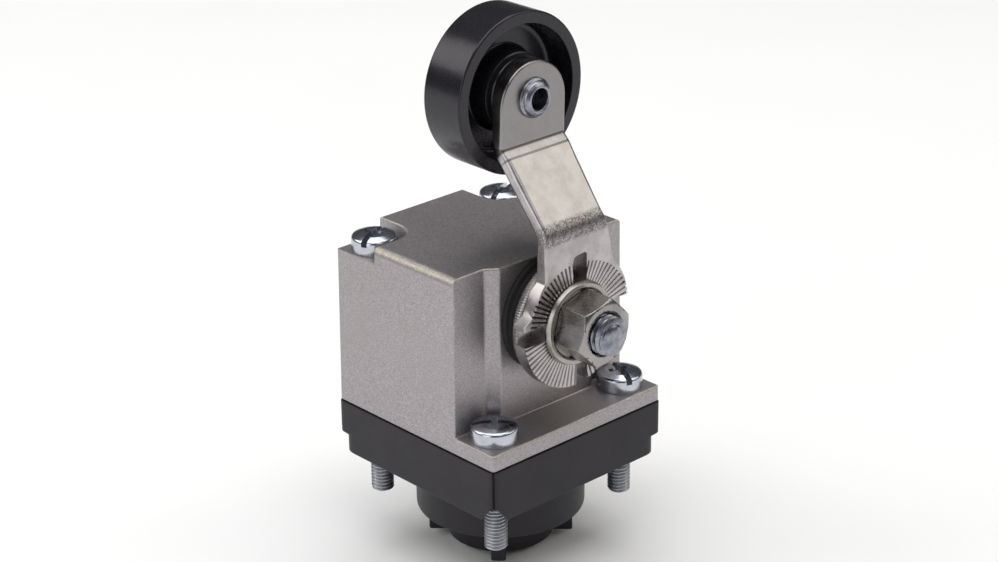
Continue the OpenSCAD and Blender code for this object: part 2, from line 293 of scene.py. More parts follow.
def mark_wear_and_highlight(piece, worn_and_highlit):
    """Sets the wear mark, which also carries a painted highlight, to 1 at points that only rounded
    faces looking up share, and keeps earlier marks.
    """
    mesh = piece.data
    inner = [worn_and_highlit] * len(mesh.vertices)
    for face in mesh.polygons:
        if face.material_index == 0 or face.normal.z < UPWARD:
            for k in face.vertices:
                inner[k] = False
        face.material_index = 0
    marks = mesh.attributes.get("wear_and_highlight") or mesh.attributes.new("wear_and_highlight", "FLOAT", "POINT")
    kept = [0.0] * len(inner)
    marks.data.foreach_get("value", kept)
    marks.data.foreach_set("value", [max(old, float(new)) for old, new in zip(kept, inner)])


def thread(major, pitch, depth, start, end):
    """A radius rule for lathe: a right-handed thread between two stations, faded at its ends."""
    def shape(r, a, h):
        inside = min(h - start, end - h) / pitch
        if inside <= 0:
            return r
        phase = (h / pitch - a / math.tau) % 1
        crest = min(1, 1.35 * abs(2 * phase - 1))
        return min(r, major) - depth * (1 - crest) * min(1, 2 * inside)
    return shape


def thread_rows(radius, start, end, pitch):
    """Profile rows close enough together to carry a thread."""
    count = round(abs(end - start) / pitch * ROWS_PER_PITCH)
    return [(radius, start + (end - start) * k / count) for k in range(count + 1)]


def dress(piece, body, nodes, slot, material, sharp=35):
    """Scales a piece to metres, shades it, attaches it to its body, hides the CAD nodes it replaces and
    gives it its material; slot is not used.
    """
    piece.data.transform(Matrix.Scale(MM, 4))
    piece.data.materials.clear()
    piece.data.materials.append(material)
    piece.data.shade_smooth()
    piece.data.set_sharp_from_angle(angle=math.radians(sharp))
    normals = piece.modifiers.new("normals", "WEIGHTED_NORMAL")
    normals.keep_sharp = True
    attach(piece, body)
    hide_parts(*nodes)
    return piece


# ---------------------------------------------------------------- materials

class Finish:
    """A procedural material. Sizes are in millimetres, and patterns stay fixed to the piece."""

    def __init__(self, name):
        self.material = bpy.data.materials.new(name)
        self.material.use_nodes = True
        self.nodes = self.material.node_tree.nodes
        self.links = self.material.node_tree.links
        self.shader = self.nodes["Principled BSDF"]
        self.coords = self.nodes.new("ShaderNodeTexCoord").outputs["Object"]

    def set(self, **values):
        """Sets the shader's own sockets: base_color becomes Base Color, and so on."""
        for key, value in values.items():
            name = key.replace("_", " ").title().replace("Ior", "IOR")
            self.shader.inputs[name].default_value = value
        return self

    def feed(self, socket, output):
        self.links.new(output, self.shader.inputs[socket])

    def scaled(self, size, stretch):
        mapping = self.nodes.new("ShaderNodeMapping")
        mapping.inputs["Scale"].default_value = [1 / (size * MM * k) for k in stretch]
        self.links.new(self.coords, mapping.inputs["Vector"])
        return mapping.outputs["Vector"]

    def noise(self, size, detail=2, stretch=(1, 1, 1)):
        """Soft noise with features about size across, or longer along a stretched axis."""
        node = self.nodes.new("ShaderNodeTexNoise")
        node.inputs["Scale"].default_value = 1
        node.inputs["Detail"].default_value = detail
        self.links.new(self.scaled(size, stretch), node.inputs["Vector"])
        return node.outputs["Fac"]

    def cells(self, size):
        """A random shade for each small cell."""
        node = self.nodes.new("ShaderNodeTexVoronoi")
        node.inputs["Scale"].default_value = 1
        self.links.new(self.scaled(size, (1, 1, 1)), node.inputs["Vector"])
        split = self.nodes.new("ShaderNodeSeparateColor")
        self.links.new(node.outputs["Color"], split.inputs["Color"])
        return split.outputs["Red"]

    def remap(self, value, low, high, to_low=0.0, to_high=1.0):
        node = self.nodes.new("ShaderNodeMapRange")
        for name, number in zip(("From Min", "From Max", "To Min", "To Max"),
                                (low, high, to_low, to_high)):
            node.inputs[name].default_value = number
        self.links.new(value, node.inputs["Value"])
        return node.outputs["Result"]

    def math(self, operation, a, b):
        node = self.nodes.new("ShaderNodeMath")
        node.operation = operation
        for socket, value in zip(node.inputs, (a, b)):
            if isinstance(value, (int, float)):
                socket.default_value = value
            else:
                self.links.new(value, socket)
        return node.outputs["Value"]

    def mix(self, factor, a, b):
        """A colour between a and b, each an output or an (r, g, b)."""
        node = self.nodes.new("ShaderNodeMix")
        node.data_type = "RGBA"
        self.links.new(factor, node.inputs["Factor"])
        for name, value in (("A", a), ("B", b)):
            socket = [s for s in node.inputs if s.name == name and s.type == "RGBA"][0]
            if isinstance(value, tuple):
                socket.default_value = (*value, 1)
            else:
                self.links.new(value, socket)
        return [s for s in node.outputs if s.type == "RGBA"][0]

    def height(self):
        """The Z coordinate, in metres."""
        split = self.nodes.new("ShaderNodeSeparateXYZ")
        self.links.new(self.coords, split.inputs["Vector"])
        return split.outputs["Z"]

    def attribute(self, name):
        node = self.nodes.new("ShaderNodeAttribute")
        node.attribute_name = name
        return node.outputs["Fac"]

    def bump(self, height, depth, after=None):
        """Relief of that depth, on top of an earlier relief if given."""
        node = self.nodes.new("ShaderNodeBump")
        node.inputs["Strength"].default_value = 1
        node.inputs["Distance"].default_value = depth * MM
        self.links.new(height, node.inputs["Height"])
        if after:
            self.links.new(after, node.inputs["Normal"])
        return node.outputs["Normal"]


def metallic_paint():
    """Fine-grained silver-grey paint with champagne along the upward rounded edges: partly rubbed
    through, partly a painted highlight.
    """
    f = Finish("metallic_paint").set(metallic=0.85, specular_ior_level=0.4)
    grain = f.noise(0.16, detail=3)
    flakes = f.cells(0.14)
    clouds = f.noise(6)
    shade = f.mix(f.remap(grain, 0.3, 0.7), (0.26, 0.239, 0.248), (0.49, 0.455, 0.472))
    shade = f.mix(f.remap(flakes, 0.88, 1, 0, 0.45), shade, (0.62, 0.59, 0.60))
    shade = f.mix(f.remap(clouds, 0.35, 0.65, 0, 0.2), shade, (0.33, 0.31, 0.30))
    patches = f.math("ADD", f.noise(0.15, detail=2), f.noise(0.9, detail=3))
    # champagne edge band: partly rubbed-through paint, partly a painted highlight on the upward rounded
    # edges
    rubbed_and_highlit = f.remap(f.math("ADD", f.attribute("wear_and_highlight"), patches), 1.75, 2.2)
    bare_and_highlit = f.mix(f.remap(f.noise(0.2, detail=3), 0.35, 0.65), (0.36, 0.33, 0.27), (0.64, 0.60, 0.50))
    f.feed("Base Color", f.mix(rubbed_and_highlit, shade, bare_and_highlit))
    gloss = f.remap(grain, 0.3, 0.7, 0.36, 0.48)
    f.feed("Roughness", f.math("ADD", gloss, f.math("MULTIPLY", rubbed_and_highlit, 0.12)))
    f.feed("Normal", f.bump(grain, 0.014, f.bump(clouds, 0.03)))
    return f.material


def black_plastic():
    """Satin moulded plastic with a fine grain and a few scuffs."""
    f = Finish("black_plastic").set(specular_ior_level=0.4, specular_tint=(0.96, 0.91, 1, 1))
    grain = f.noise(0.12, detail=3)
    clouds = f.noise(5)
    scuffs = f.remap(f.noise(0.5, detail=5), 0.72, 0.8, 0, 0.6)
    shade = f.mix(f.remap(clouds, 0.35, 0.65), (0.008, 0.0072, 0.0092), (0.0125, 0.0113, 0.014))
    f.feed("Base Color", f.mix(scuffs, shade, (0.05, 0.048, 0.05)))
    f.feed("Roughness", f.remap(grain, 0.3, 0.7, 0.4, 0.56))
    f.feed("Normal", f.bump(grain, 0.006, f.bump(clouds, 0.05)))
    return f.material


def roller_plastic():
    """Smooth acetal, rubbed to a soft gloss."""
    f = Finish("roller_plastic").set(specular_ior_level=0.45, specular_tint=(0.92, 0.88, 1, 1))
    clouds = f.noise(2.5)
    lines = f.noise(0.4, detail=4, stretch=(1, 0.15, 1))
    f.feed("Base Color", f.mix(clouds, (0.009, 0.0083, 0.0105), (0.013, 0.012, 0.0148)))
    f.feed("Roughness", f.remap(lines, 0.3, 0.7, 0.18, 0.3))
    f.feed("Normal", f.bump(clouds, 0.02, f.bump(lines, 0.0006)))
    return f.material


def rubber():
    f = Finish("black_rubber").set(specular_ior_level=0.3)
    grain = f.noise(0.15, detail=3)
    f.feed("Base Color", f.mix(grain, (0.008, 0.008, 0.008), (0.02, 0.02, 0.02)))
    f.feed("Roughness", f.remap(grain, 0.3, 0.7, 0.5, 0.7))
    f.feed("Normal", f.bump(grain, 0.01))
    return f.material


def mottled(name, dark, light, roughness, grain=0.15, depth=0.002, stretch=(1, 1, 1), patch=1.6,
            metallic=1):
    """Bare or plated metal, or a plain plastic: a mottled tint, uneven gloss and a fine relief."""
    f = Finish(name).set(metallic=metallic)
    fine = f.noise(grain, detail=4, stretch=stretch)
    clouds = f.noise(patch, detail=3)
    f.feed("Base Color", f.mix(f.remap(clouds, 0.3, 0.7), dark, light))
    f.feed("Roughness", f.remap(fine, 0.3, 0.7, roughness[0], roughness[1]))
    f.feed("Normal", f.bump(fine, depth, f.bump(clouds, 0.01)))
    return f.material


def lever_steel():
    """Plated strip steel: satin, faintly pitted, with dull patches, painted shade along the upper bends
    and over the plate above the upper bend.
    """
    f = Finish("lever_steel").set(metallic=1)
    fine = f.noise(0.09, detail=4)
    pits = f.remap(f.noise(0.28, detail=5), 0.66, 0.74)
    clouds = f.noise(2.2, detail=3)
    shade = f.mix(f.remap(clouds, 0.35, 0.65), (0.37, 0.345, 0.35), (0.50, 0.475, 0.475))
    shade = f.mix(pits, shade, (0.26, 0.24, 0.23))
    # painted shade: the plate above the upper bend is darkened towards dark grey
    bend_z = ROLLER_Z - UPPER_BEND_DROP
    painted_shade_above_bend = f.remap(f.height(), (bend_z - 0.3) * MM, (bend_z + 0.5) * MM, 0, 0.75)
    shade = f.mix(painted_shade_above_bend, shade, (0.22, 0.21, 0.215))
    speckle = f.math("MULTIPLY", f.attribute("bend"), f.remap(f.cells(0.17), 0.25, 0.75))
    shade = f.mix(speckle, shade, (0.17, 0.16, 0.155))
    # painted shade: the two upper bend lines are darkened almost to black
    f.feed("Base Color", f.mix(f.remap(f.attribute("painted_crease_shade"), 0.2, 0.9), shade, (0.11, 0.10, 0.095)))
    gloss = f.remap(clouds, 0.3, 0.7, 0.24, 0.36)
    f.feed("Roughness", f.math("ADD", gloss, f.math("MULTIPLY", f.attribute("bend"), 0.1)))
    f.feed("Normal", f.bump(fine, 0.003, f.bump(clouds, 0.02, f.bump(speckle, 0.004))))
    return f.material


def screw_zinc():
    """Bright bluish zinc on the heads, dull grey on the threads below."""
    f = Finish("blue_zinc").set(metallic=1)
    fine = f.noise(0.15, detail=4)
    clouds = f.noise(1.6, detail=3)
    below = f.remap(f.height(), 5.5 * MM, 4.5 * MM)
    bright = f.mix(f.remap(clouds, 0.3, 0.7), (0.43, 0.45, 0.51), (0.57, 0.59, 0.65))
    f.feed("Base Color", f.mix(below, bright, (0.42, 0.43, 0.47)))
    gloss = f.remap(fine, 0.3, 0.7, 0.16, 0.28)
    f.feed("Roughness", f.math("ADD", gloss, f.math("MULTIPLY", below, 0.25)))
    f.feed("Normal", f.bump(fine, 0.002, f.bump(clouds, 0.01)))
    return f.material


MATERIALS = {
    "head_zinc": metallic_paint(),
    "black_plastic": black_plastic(),
    "gasket_rubber": rubber(),
    "zinc_screw": screw_zinc(),
    "shaft_zinc": mottled("shaft_zinc", (0.17, 0.175, 0.21), (0.37, 0.38, 0.43), (0.24, 0.38),
                          patch=1.0),
    "lever_steel": lever_steel(),
    "washer_zinc": mottled("yellow_zinc", (0.31, 0.295, 0.275), (0.42, 0.40, 0.37), (0.24, 0.36)),
    "nut_nickel": mottled("nickel", (0.28, 0.265, 0.268), (0.40, 0.38, 0.375), (0.22, 0.34),
                          grain=0.12, depth=0.0006, stretch=(1, 6, 1), patch=3),
    "bush_bronze": mottled("bronze", (0.45, 0.28, 0.12), (0.62, 0.42, 0.2), (0.3, 0.45)),
    "inner_steel": mottled("plain_steel", (0.40, 0.40, 0.41), (0.54, 0.54, 0.55), (0.25, 0.4)),
    "spring_steel": mottled("spring_steel", (0.34, 0.34, 0.36), (0.5, 0.5, 0.52), (0.22, 0.35)),
    "roller_plastic": roller_plastic(),
    "follower_plastic": mottled("dry_acetal", (0.7, 0.69, 0.65), (0.8, 0.79, 0.75), (0.4, 0.55),
                                metallic=0),
}


def make(piece, body, nodes, slot, finish=None, **options):
    return dress(piece, body, nodes, slot, MATERIALS[finish or slot], **options)


# ---------------------------------------------------------------- housing and base

BODY_Y = -7.8           # the housing's front face above the ledge
BOSS_Y = -9.0
BOSS_HALF = 8.0
BOSS_FOOT = 9.5         # half width where the boss meets the front face
LEDGE_Z = 9.6
POCKET_Z = 29.0
POCKET_R = 3.95
CHAMBER_LOW = (-8.2, -5.2)
CHAMBER_HIGH = (8.2, 11.8)
CHAMBER_TOP = 27.8
SCREW_HOLE_R = 1.7
SCREWS = ("screw_front_left", "screw_front_right", "screw_rear_left", "screw_rear_right")


def rear_pocket(side):
    """The space over a rear screw's head, open to the side and to the rear."""
    screw = middle("screw_rear_right")
    near, far = screw.x - POCKET_R, screw.x + 2 * POCKET_R
    corners = [(near, far), (near, near, POCKET_R), (far, near), (far, far)]
    outline = [(side * x, y) for x, y in soften(corners, steps=14)]
    return prism("pocket", outline, POCKET_Z, ROOF_Z + 1)


def front_space():
    """What is cut away in front of the housing and round its shaft boss."""
    far = 20
    outline = [(-far, -far), (far, -far), (far, BODY_Y), (BOSS_FOOT, BODY_Y), (BOSS_HALF, BOSS_Y),
               (-BOSS_HALF, BOSS_Y), (-BOSS_FOOT, BODY_Y), (-far, BODY_Y)]
    return prism("front_space", outline, LEDGE_Z, ROOF_Z + 1)


def screw_hole(node, bottom, top):
    spot = middle(node)
    wall = [(SCREW_HOLE_R, bottom), (SCREW_HOLE_R, top)]
    return lathe("hole", wall, upright(spot.x, spot.y), SMALL_SEGMENTS)


def housing_edge(spot, way, fold):
    """How far each of the housing's outer edges is rounded."""
    half = span("housing")[1].x
    if spot.z < JOINT_Z + 0.1:
        return 0
    outer = half - 0.5
    if abs(way.z) > 0.9:
        if fold < 0:
            return 0
        if abs(spot.x) > outer and abs(spot.y) > outer:
            return 0.45
        if abs(spot.x) > outer:
            return 0.3
        return 0.2 if spot.y < BOSS_Y + 0.1 else 0
    if fold < 0:
        return 0
    if spot.z > ROOF_Z - 0.1:
        if spot.x < -outer:
            return 1.1
        return 0.8 if spot.x > outer else 0.28
    return 0.25 if spot.z < LEDGE_Z + 0.1 else 0.15


def housing_hollow(spot, way, fold):
    """Small fillets in the hollow corners round the boss and along the ledge."""
    outside = spot.y < BODY_Y + 0.1 and spot.z > LEDGE_Z - 0.1
    return 0.25 if fold < 0 and outside else 0


def housing():
    low, high = span("housing")
    draft = 0.24
    rings = [[(x * half, y * half, z) for x, y in CORNERS]
             for half, z in ((high.x, low.z), (high.x - draft, high.z))]
    piece = skin("cast_housing", rings)
    cut(piece, front_space(), rear_pocket(-1), rear_pocket(1))
    round_edges(piece, housing_edge)
    round_edges(piece, housing_hollow, worn_and_highlit=False)
    cut(piece, *[screw_hole(node, JOINT_Z - 1, ROOF_Z) for node in SCREWS])
    cut(piece, block("chamber", (*CHAMBER_LOW, JOINT_Z - 1), (*CHAMBER_HIGH, CHAMBER_TOP)))
    bores = (("cam_space", 6.4, -5.3, 7.4), ("bush_bore", 6, -10, -5),
             ("seal_bore", 7, -10, BOSS_Y + 1), ("rear_bore", 5, 11, 13.8))
    for name, radius, front, back in bores:
        cut(piece, lathe(name, [(radius, front), (radius, back)], along_y(SHAFT_Z)))
    return make(piece, "head", ["housing"], "head_zinc")


def base_relief():
    """V-groove down the front left corner, and the pointed arch at its foot."""
    corner = span("base_adapter")[1].x * math.sqrt(2)
    screw = middle("screw_front_right").x * math.sqrt(2)
    foot_half, tip_half, arch_top = 1.75, 0.45, 2.1
    arch = [(-foot_half, -0.1), (foot_half, -0.1), (tip_half, arch_top), (-tip_half, arch_top)]
    opening = skin("arch", [[(reach, u, v) for u, v in arch] for reach in (0, 8)])
    chamfered_off, groove_half = 0.41, 1.15
    front = corner - screw - chamfered_off
    outline = [(front - 0.15, 0), (front + 1, -groove_half), (front + 1, groove_half)]
    groove = prism("groove", outline, -1, span("base_gasket")[0].z + 1)
    tools = []
    for tool in (opening, groove):
        tool.data.transform(Matrix.Translation((screw, 0, 0)))
        tools.append(turn(tool, 225, "Z"))
    return tools


def base_edge(spot, way, fold):
    """How far the base's level edges are rounded. Its upright ones are not."""
    half = span("base_adapter")[1].x
    top = span("base_gasket")[0].z
    if fold < 40 or abs(way.z) > 0.5:
        return 0
    if spot.z > top - 0.1:
        return 0.1
    return 0.25 if max(abs(spot.x), abs(spot.y)) > half - 2 and spot.z < 3 else 0


def base_adapter():
    low, high = span("base_adapter")
    half = high.x
    step, step_z = 0.9, 2.6
    spigot_low, core_r, lug_r, lug_w = -7.4, 7.1, 9.7, 2.0
    near = half - step
    foot = soften([(-half, -half, 1.0), (near, -half, 1.8), (near, near, 1.8), (-half, near, 1.8)],
                  looped=True)
    piece = prism("moulded_base", square(half, 1.0), step_z, high.z)
    join(piece, prism("foot", foot, 0, step_z + 1))
    round_edges(piece, base_edge, segments=3)
    spigot = soften([(11.35, 1), (11.35, spigot_low, 0.5), (core_r + 1.3, spigot_low - 0.2, 0.3),
                     (core_r + 0.4, spigot_low - 0.8, 0.3), (core_r, low.z, 0.3), (4, low.z)])
    join(piece, lathe("spigot", spigot, upright(0, 0)))
    for direction in (45, 135):
        lug = block("lug", (-lug_r, -lug_w / 2, low.z), (lug_r, lug_w / 2, spigot_low + 1))
        round_edges(lug, lambda spot, way, fold: 0.3, segments=3)
        join(piece, turn(lug, direction, "Z"))
    cut(piece, *base_relief())
    cut(piece, *[screw_hole(node, -1, high.z + 1) for node in SCREWS])
    cut(piece, lathe("rod_bore", [(2.08, low.z - 1), (2.08, high.z)], upright(0, 0)),
        lathe("rod_seal_seat", [(3.3, low.z - 1), (3.3, low.z + 1.5)], upright(0, 0)),
        lathe("spring_well", [(4.7, 1.6), (4.7, high.z + 1)], upright(0, 0)))
    return make(piece, "head", ["base_adapter"], "black_plastic")


def base_gasket():
    low, high = span("base_gasket")
    piece = prism("joint_gasket", square(high.x, 1.0), low.z, high.z)
    cut(piece, block("opening", (*CHAMBER_LOW, low.z - 1), (*CHAMBER_HIGH, high.z + 1)))
    cut(piece, *[screw_hole(node, low.z - 1, high.z + 1) for node in SCREWS])
    return make(piece, "head", ["base_gasket"], "gasket_rubber")


# ---------------------------------------------------------------- screws

def cross_recess(top, depth):
    """Tapered four-winged recess at a screw head's centre."""
    wings = []
    for direction in (0, 90):
        rings = []
        for z, length, width in ((top - depth, 0.7, 0.25), (top + 0.5, 1.8, 0.5)):
            rings.append([(-length, -width, z), (length, -width, z), (length, width, z),
                          (-length, width, z)])
        wings.append(turn(skin("wing", rings), direction, "Z"))
    return wings


def fixing_screw(node, direction):
    """Domed-head screw with a slot and a cross recess, threaded to above the base's underside."""
    low, high = span(node)
    spot = middle(node)
    head_low = high.z - 2.4
    head_r = high.x - spot.x
    thread_r, core_r, thread_top = 1.52, 1.35, 3.2
    head = [(head_r, head_low, 0.15), (head_r, high.z - 0.45, 0.6), (1.9, high.z - 0.08, 1.0),
            (0.8, high.z), (0, high.z)]
    profile = [(0, low.z), (1.05, low.z)]
    profile += thread_rows(thread_r, low.z + 0.3, thread_top + 0.5, M3_PITCH)
    profile += soften([(core_r, thread_top + 0.6), (core_r, head_low), *head])
    piece = lathe("fixing_" + node, profile, upright(0, 0), SMALL_SEGMENTS,
                  shape=thread(thread_r, M3_PITCH, 0.27, low.z + 0.1, thread_top + 0.4))
    slot = block("slot", (-4, -0.4, high.z - 1.15), (4, 0.4, high.z + 1))
    cut(piece, slot, *cross_recess(high.z, 1.5))
    turn(piece, direction, "Z")
    piece.data.transform(Matrix.Translation((spot.x, spot.y, 0)))
    return make(piece, "head", [node], "zinc_screw")


# ---------------------------------------------------------------- shaft line

def shaft_seal():
    low, high = span("shaft_seal")
    rim = high.x
    profile = soften([(4.05, high.y), (6.95, high.y), (6.95, BOSS_Y), (rim, BOSS_Y - 0.02, 0.1),
                      (rim, BOSS_Y - 0.6, 0.3), (rim - 0.7, BOSS_Y - 0.9, 0.2),
                      (rim - 0.5, low.y + 0.5, 0.3), (rim - 0.9, low.y, 0.3), (4.05, low.y)])
    piece = lathe("lip_seal", profile, along_y(SHAFT_Z), looped=True)
    return make(piece, "head", ["shaft_seal"], "gasket_rubber")


def toothed(count, depth, rim):
    """A radius rule for lathe: teeth round the rim only."""
    def shape(r, a, h):
        wave = abs(2 * ((a / math.tau * count) % 1) - 1)
        return r - depth * wave * max(0, min(1, r - rim + 1))
    return shape


def serrated_hub():
    low, high = span("serrated_hub")
    rim = high.x
    profile = soften([(3.2, low.y), (rim - 0.25, low.y, 0.1), (rim, low.y + 0.2, 0.1),
                      (rim, high.y - 0.2, 0.1), (rim - 0.2, high.y), (3.2, high.y)], steps=2)
    teeth = 150
    piece = lathe("knurled_hub", profile, along_y(SHAFT_Z), teeth * 4, looped=True,
                  shape=toothed(teeth, 0.14, rim))
    return make(piece, "lever", ["serrated_hub"], "lever_steel", sharp=50)


def shaft():
    low, high = span("shaft")
    hub_low, hub_high = span("serrated_hub")
    clip_low, clip_high = span("shaft_circlip")
    major, collar, journal, groove, tail, journal_end = 2.6, 3.2, 4, 3.4, 3, 10.6
    profile = [(0, low.y), (0.9, low.y + 0.04), (1.4, low.y + 0.14), (1.8, low.y + 0.34),
               (2.1, low.y + 0.52)]
    profile += thread_rows(major, low.y + 0.62, hub_low.y - 0.2, M5_PITCH)
    profile += [(collar, hub_low.y), (collar, hub_high.y), (journal, hub_high.y),
                (journal, clip_low.y), (groove, clip_low.y), (groove, clip_high.y),
                (journal, clip_high.y), (journal, journal_end), (tail, journal_end),
                (tail, high.y - 0.3), (tail - 0.3, high.y)]
    piece = lathe("threaded_shaft", profile, along_y(SHAFT_Z),
                  shape=thread(major, M5_PITCH, 0.6, low.y + 0.1, hub_low.y - 0.3))
    return make(piece, "lever", ["shaft"], "zinc_screw", finish="shaft_zinc")


def lever_washer():
    """A dished washer: its rim stands proud of the nut's seat."""
    low, high = span("lever_washer")
    rim = high.x
    profile = soften([(2.7, high.y), (rim - 0.1, high.y, 0.1), (rim, high.y - 0.35, 0.2),
                      (rim - 0.2, low.y, 0.15), (rim - 0.75, low.y + 0.05, 0.15),
                      (rim - 1.1, low.y + 0.4, 0.2), (2.7, low.y + 0.4)])
    piece = lathe("dished_washer", profile, along_y(SHAFT_Z), looped=True)
    return make(piece, "lever", ["lever_washer"], "washer_zinc")


def lever_nut():
    """A chamfered hexagon nut, turned a little off level, that sits inside the washer's rim."""
    low, high = span("lever_nut")
    seat = high.y + 0.35
    across_corners, lean = 9.3, 15
    corners = [math.radians(60 * k + lean) for k in range(6)]
    r = across_corners / 2
    rings = [[(r * math.cos(a), y, SHAFT_Z + r * math.sin(a)) for a in corners]
             for y in (low.y, seat)]
    piece = skin("hex_nut", rings)
    chamfer = [(3.0, low.y), (3.75, low.y), (4.05, low.y + 0.08), (5.0, low.y + 0.62),
               (5.2, low.y + 1), (5.2, high.y - 0.1), (4.3, seat), (3.0, seat)]
    combine(piece, lathe("chamfer", chamfer, along_y(SHAFT_Z)), "INTERSECT")
    bore = [(3.1, low.y - 0.1), (3.05, low.y), (2.75, low.y + 0.35), (2.75, high.y + 1)]
    cut(piece, lathe("bore", bore, along_y(SHAFT_Z)))
    round_edges(piece, lambda spot, way, fold: 0.08 if fold > LEAST_FOLD else 0, segments=2)
    return make(piece, "lever", ["lever_nut"], "nut_nickel")


# ---------------------------------------------------------------- lever

LEVER_T = 1.9
LOWER_TURN = 37.5       # degrees back from upright, up the slope
BAND_TURN = 9.0         # degrees more, in the narrow band under the upper bend
BAND_LENGTH = 1.1
LOWER_BEND_R = 2.6
LINE_BEND_R = 0.8
UPPER_BEND_R = 1.1
BEND_LINE_SHIFT = 0.33  # how far the line on the face stands above the middle line's bend
FAN_R = 8.8
NECK_HALF = 5.5


def travel(pieces, start, s):
    """Follows a path of (length, turn) pieces for a distance s: returns y, z and the heading."""
    y, z = start
    heading = 0.0
    for length, bend in pieces:
        part = min(s, length)
        if bend:
            radius = length / bend
            after = heading + bend * part / length
            y += radius * (math.cos(heading) - math.cos(after))
            z += radius * (math.sin(after) - math.sin(heading))
            heading = after
        else:
            y += part * math.sin(heading)
            z += part * math.cos(heading)
        s -= part
        if s <= 0:
            break
    return y, z, heading


def lever_path():
    """The cranked middle line of the lever's strip, from the shaft's axis up.

    The slope's length brings the strip from its lower plane to its upper one, and the neck's
    length puts the upper bend at its height.
    """
    lower, band = math.radians(LOWER_TURN), math.radians(BAND_TURN)
    upper = -(lower + band)
    low, high = span("lever_arm")
    crank = high.y - low.y - LEVER_T
    bend_z = ROLLER_Z - UPPER_BEND_DROP
    bends = [(LOWER_BEND_R * lower, lower), (0, 0), (LINE_BEND_R * band, band),
             (BAND_LENGTH, 0), (UPPER_BEND_R * -upper, upper)]
    reach, _, _ = travel(bends, (0, 0), sum(length for length, _ in bends))
    bends[1] = ((crank - reach) / math.sin(lower), 0)
    total = sum(length for length, _ in bends)
    _, rise, _ = travel(bends, (0, 0), total)
    neck = bend_z - SHAFT_Z - rise + UPPER_BEND_R * math.tan(-upper / 2) - BEND_LINE_SHIFT
    return [(neck, 0), *bends, (100, 0)], neck + total


def lever_outline(top_s):
    """The flattened lever: its fan round the shaft, its neck, and its round end."""
    end = (0, top_s - 0.8)
    wide_fan = arc(9.4, 4, 35, 8)
    right = [(7.0, 6.2), (6.5, 7.2), (6.15, 9.4), (5.3, 13.3), (NECK_HALF, 20.5)]
    left = [(-NECK_HALF, 20.5), (-5.15, 13.3), (-5.15, 7.0), (-5.35, 6.4), (-6.2, 5.5),
            (-7.1, 3.6), (-7.6, 2.7), (-9.1, 1.9)]
    return [*arc(FAN_R, 272, 350, 16), *wide_fan, *right, *arc(NECK_HALF, 0, 180, 32, end), *left,
            *arc(FAN_R, 176, 268, 18)]


def serrations():
    """A ring of V-grooves to cut in the lever's face, every five degrees, with flat lands between.

    The grooves stop short of the rim at the neck and upper left, and run out through it elsewhere.
    """
    count, land, depth, clear = 72, 0.5, 0.42, -0.03
    inner, short, through = 5.0, 8.05, 9.6
    front = LEVER_T / 2
    rings = []
    for k in range(count):
        for part, deep in ((0, clear), (land, clear), ((1 + land) / 2, depth)):
            degrees = 360 * (k + part) / count
            a = math.radians(degrees)
            outer = through
            if 70 <= degrees < 180:
                outer = short
            elif 18 <= degrees < 70:
                outer = short + 0.022 * (70 - degrees)
            inner_deep = deep * 0.7 if deep > 0 else deep
            corner = [(inner, front + 1), (outer, front + 1), (outer, front - deep),
                      (inner, front - inner_deep)]
            rings.append([(r * math.cos(a), r * math.sin(a), t) for r, t in corner])
    return skin("serrations", rings, looped=True)


def lever_slots():
    """Four slots through the fan; the top one ends round in the neck."""
    deep = LEVER_T
    top = soften([(-0.55, 5.2), (-0.55, 8.95, 0.9), (1.85, 9.15, 0.5), (1.85, 5.2)])
    sides = [((-12, -0.95), (-5.3, 1.25)), ((5.3, -1.1), (12, 1.1)), ((0.0, -12), (2.0, -5.2))]
    return [prism("top_slot", top, -deep, deep)] + [
        block("slot", (*low, -deep), (*high, deep)) for low, high in sides]


def lever_rim(x, y):
    """Rounding of the strip's rims: slight round the fan, soft along the neck, full up the slope."""
    if y < 6.3:
        return 0.1 if math.hypot(x, y) < 9.5 else 0.26
    return 0.28 + 0.5 * max(0, min(1, (y - 12) / 2)) * max(0, min(1, (24 - y) / 2))


def lever_arm():
    path, bends_end = lever_path()
    middle_y = span("lever_arm")[0].y + LEVER_T / 2
    top_y, top_z, _ = travel(path, (middle_y, SHAFT_Z), bends_end)
    roller_s = bends_end + ROLLER_Z - top_z
    piece = rounded_plate("cranked_lever", lever_outline(roller_s), LEVER_T, lever_rim)
    cut(piece, serrations(), *lever_slots())
    cut(piece, lathe("shaft_hole", [(2.6, -2), (2.6, 2)], upright(0, 0)),
        lathe("rivet_hole", [(2.0, -2), (2.0, 2)], upright(0, roller_s)))
    bend_strip(piece, path, (middle_y, SHAFT_Z))
    return make(piece, "lever", ["lever_arm"], "lever_steel")


